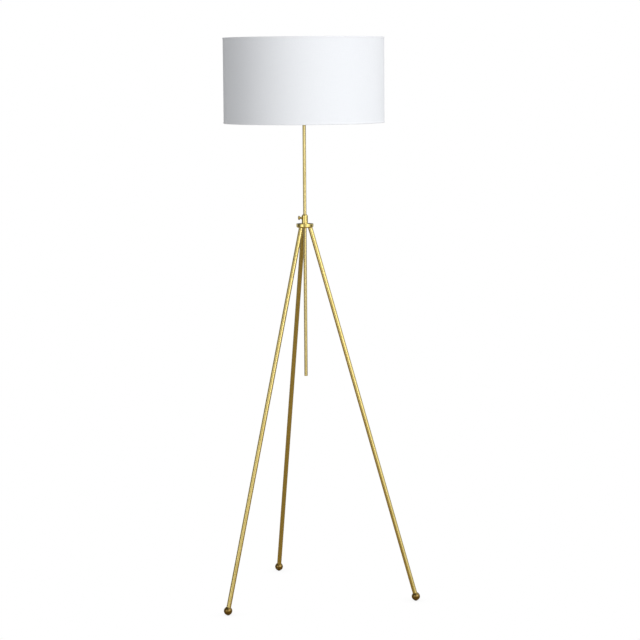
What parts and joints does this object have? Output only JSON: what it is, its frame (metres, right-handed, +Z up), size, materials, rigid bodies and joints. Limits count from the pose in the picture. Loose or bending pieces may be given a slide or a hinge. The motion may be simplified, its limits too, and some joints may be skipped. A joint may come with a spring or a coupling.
{
  "type": "tripod floor lamp",
  "caption": "Tripod floor lamp with a sliding stem clamped by a thumb screw, ball feet and a white drum shade carried by a harp over a switched lamp socket.",
  "frame": {"origin": "on the floor, under the stem's axis, in the middle of the three feet", "axes": "+Z up along the stem; +X towards leg 1; the thumb screw points to -X and the switch knob to -Y"},
  "size_m": [0.5535, 0.5712, 1.587],
  "materials": {
    "satin_brass": "brushed satin, pale warm gold",
    "stem_brass": "satin, slightly paler than the legs",
    "antique_brass": "dark antique bronze, half gloss",
    "zinc_steel": "zinc plated",
    "socket_brass": "bright dipped",
    "contact_brass": "plain sheet",
    "nickel": "nickel plated",
    "phenolic": "moulded, dark brown-black",
    "fibre": "vulcanised paper",
    "nylon": "natural",
    "foot_pad": "dense felt and vinyl",
    "white_fabric": "fine slubbed weave, cool white",
    "trim_fabric": "self trim tape",
    "shade_liner": "white sheet",
    "white_wire": "white epoxy coat",
    "frosted_glass": "frosted",
    "bulb_insulator": "black",
    "light_source": "pale yellow"
  },
  "bodies": {
    "tripod": {"hub_disc": "satin_brass", "guide_collar": "satin_brass", "leg_1": "satin_brass", "leg_2": "satin_brass", "leg_3": "satin_brass", "leg_top_studs": "zinc_steel", "leg_foot_plugs": "zinc_steel", "ball_foot_1": "antique_brass", "ball_foot_2": "antique_brass", "ball_foot_3": "antique_brass", "foot_pads": "foot_pad"},
    "clamp_tip": {"clamp_pad": "nylon"},
    "clamp_screw": {"thumb_screw": "satin_brass"},
    "stem_end": {"cord_bushing": "stem_brass"},
    "head": {"stem_tube": "stem_brass", "stem_coupling": "satin_brass", "harp_saddle": "satin_brass", "saddle_nut": "zinc_steel", "harp": "satin_brass", "finial": "satin_brass", "socket_cap": "socket_brass", "cap_screw": "zinc_steel", "socket_shell": "socket_brass", "socket_liner": "fibre", "socket_body": "phenolic", "screw_shell": "contact_brass", "centre_contact": "contact_brass", "terminal_screws": "contact_brass", "bulb_base": "nickel", "bulb_contact": "bulb_insulator", "bulb_glass": "frosted_glass", "bulb_light": "light_source"},
    "switch": {"switch_shaft": "zinc_steel", "switch_knob": "phenolic"},
    "sleeve_left": {"harp_sleeve_left": "satin_brass"},
    "sleeve_right": {"harp_sleeve_right": "satin_brass"},
    "shade": {"shade_fabric": "white_fabric", "shade_liner": "shade_liner", "shade_top_frame": "white_wire", "shade_bottom_ring": "white_wire", "shade_top_trim": "trim_fabric", "shade_bottom_trim": "trim_fabric"}
  },
  "joints": [
    {"name": "height_slide", "type": "slide", "parent": "tripod", "child": "stem_end", "axis": [0, 0, 1], "range_m": [-0.2658, 0.4215]},
    {"name": "stem_turn", "type": "hinge", "parent": "stem_end", "child": "head", "pos_m": [0, 0, 1.08], "axis": [0, 0, 1], "continuous": true},
    {"name": "shade_turn", "type": "hinge", "parent": "head", "child": "shade", "pos_m": [0, 0, 1.562], "axis": [0, 0, 1], "continuous": true},
    {"name": "clamp_slide", "type": "slide", "parent": "tripod", "child": "clamp_tip", "axis": [-1, 0, 0], "range_m": [0, 0.0021]},
    {"name": "clamp_turn", "type": "hinge", "parent": "clamp_tip", "child": "clamp_screw", "pos_m": [0, 0, 1.0828], "axis": [-1, 0, 0], "range_deg": [0, 1080]},
    {"name": "switch_turn", "type": "hinge", "parent": "head", "child": "switch", "pos_m": [0, 0, 1.4016], "axis": [0, -1, 0], "continuous": true},
    {"name": "sleeve_left_slide", "type": "slide", "parent": "head", "child": "sleeve_left", "axis": [0, 0, 1], "range_m": [0, 0.012]},
    {"name": "sleeve_right_slide", "type": "slide", "parent": "head", "child": "sleeve_right", "axis": [0, 0, 1], "range_m": [0, 0.012]}
  ],
  "couplings": [
    {"joint": "clamp_turn", "follows": "clamp_slide", "rad_per_m": 8976}
  ]
}
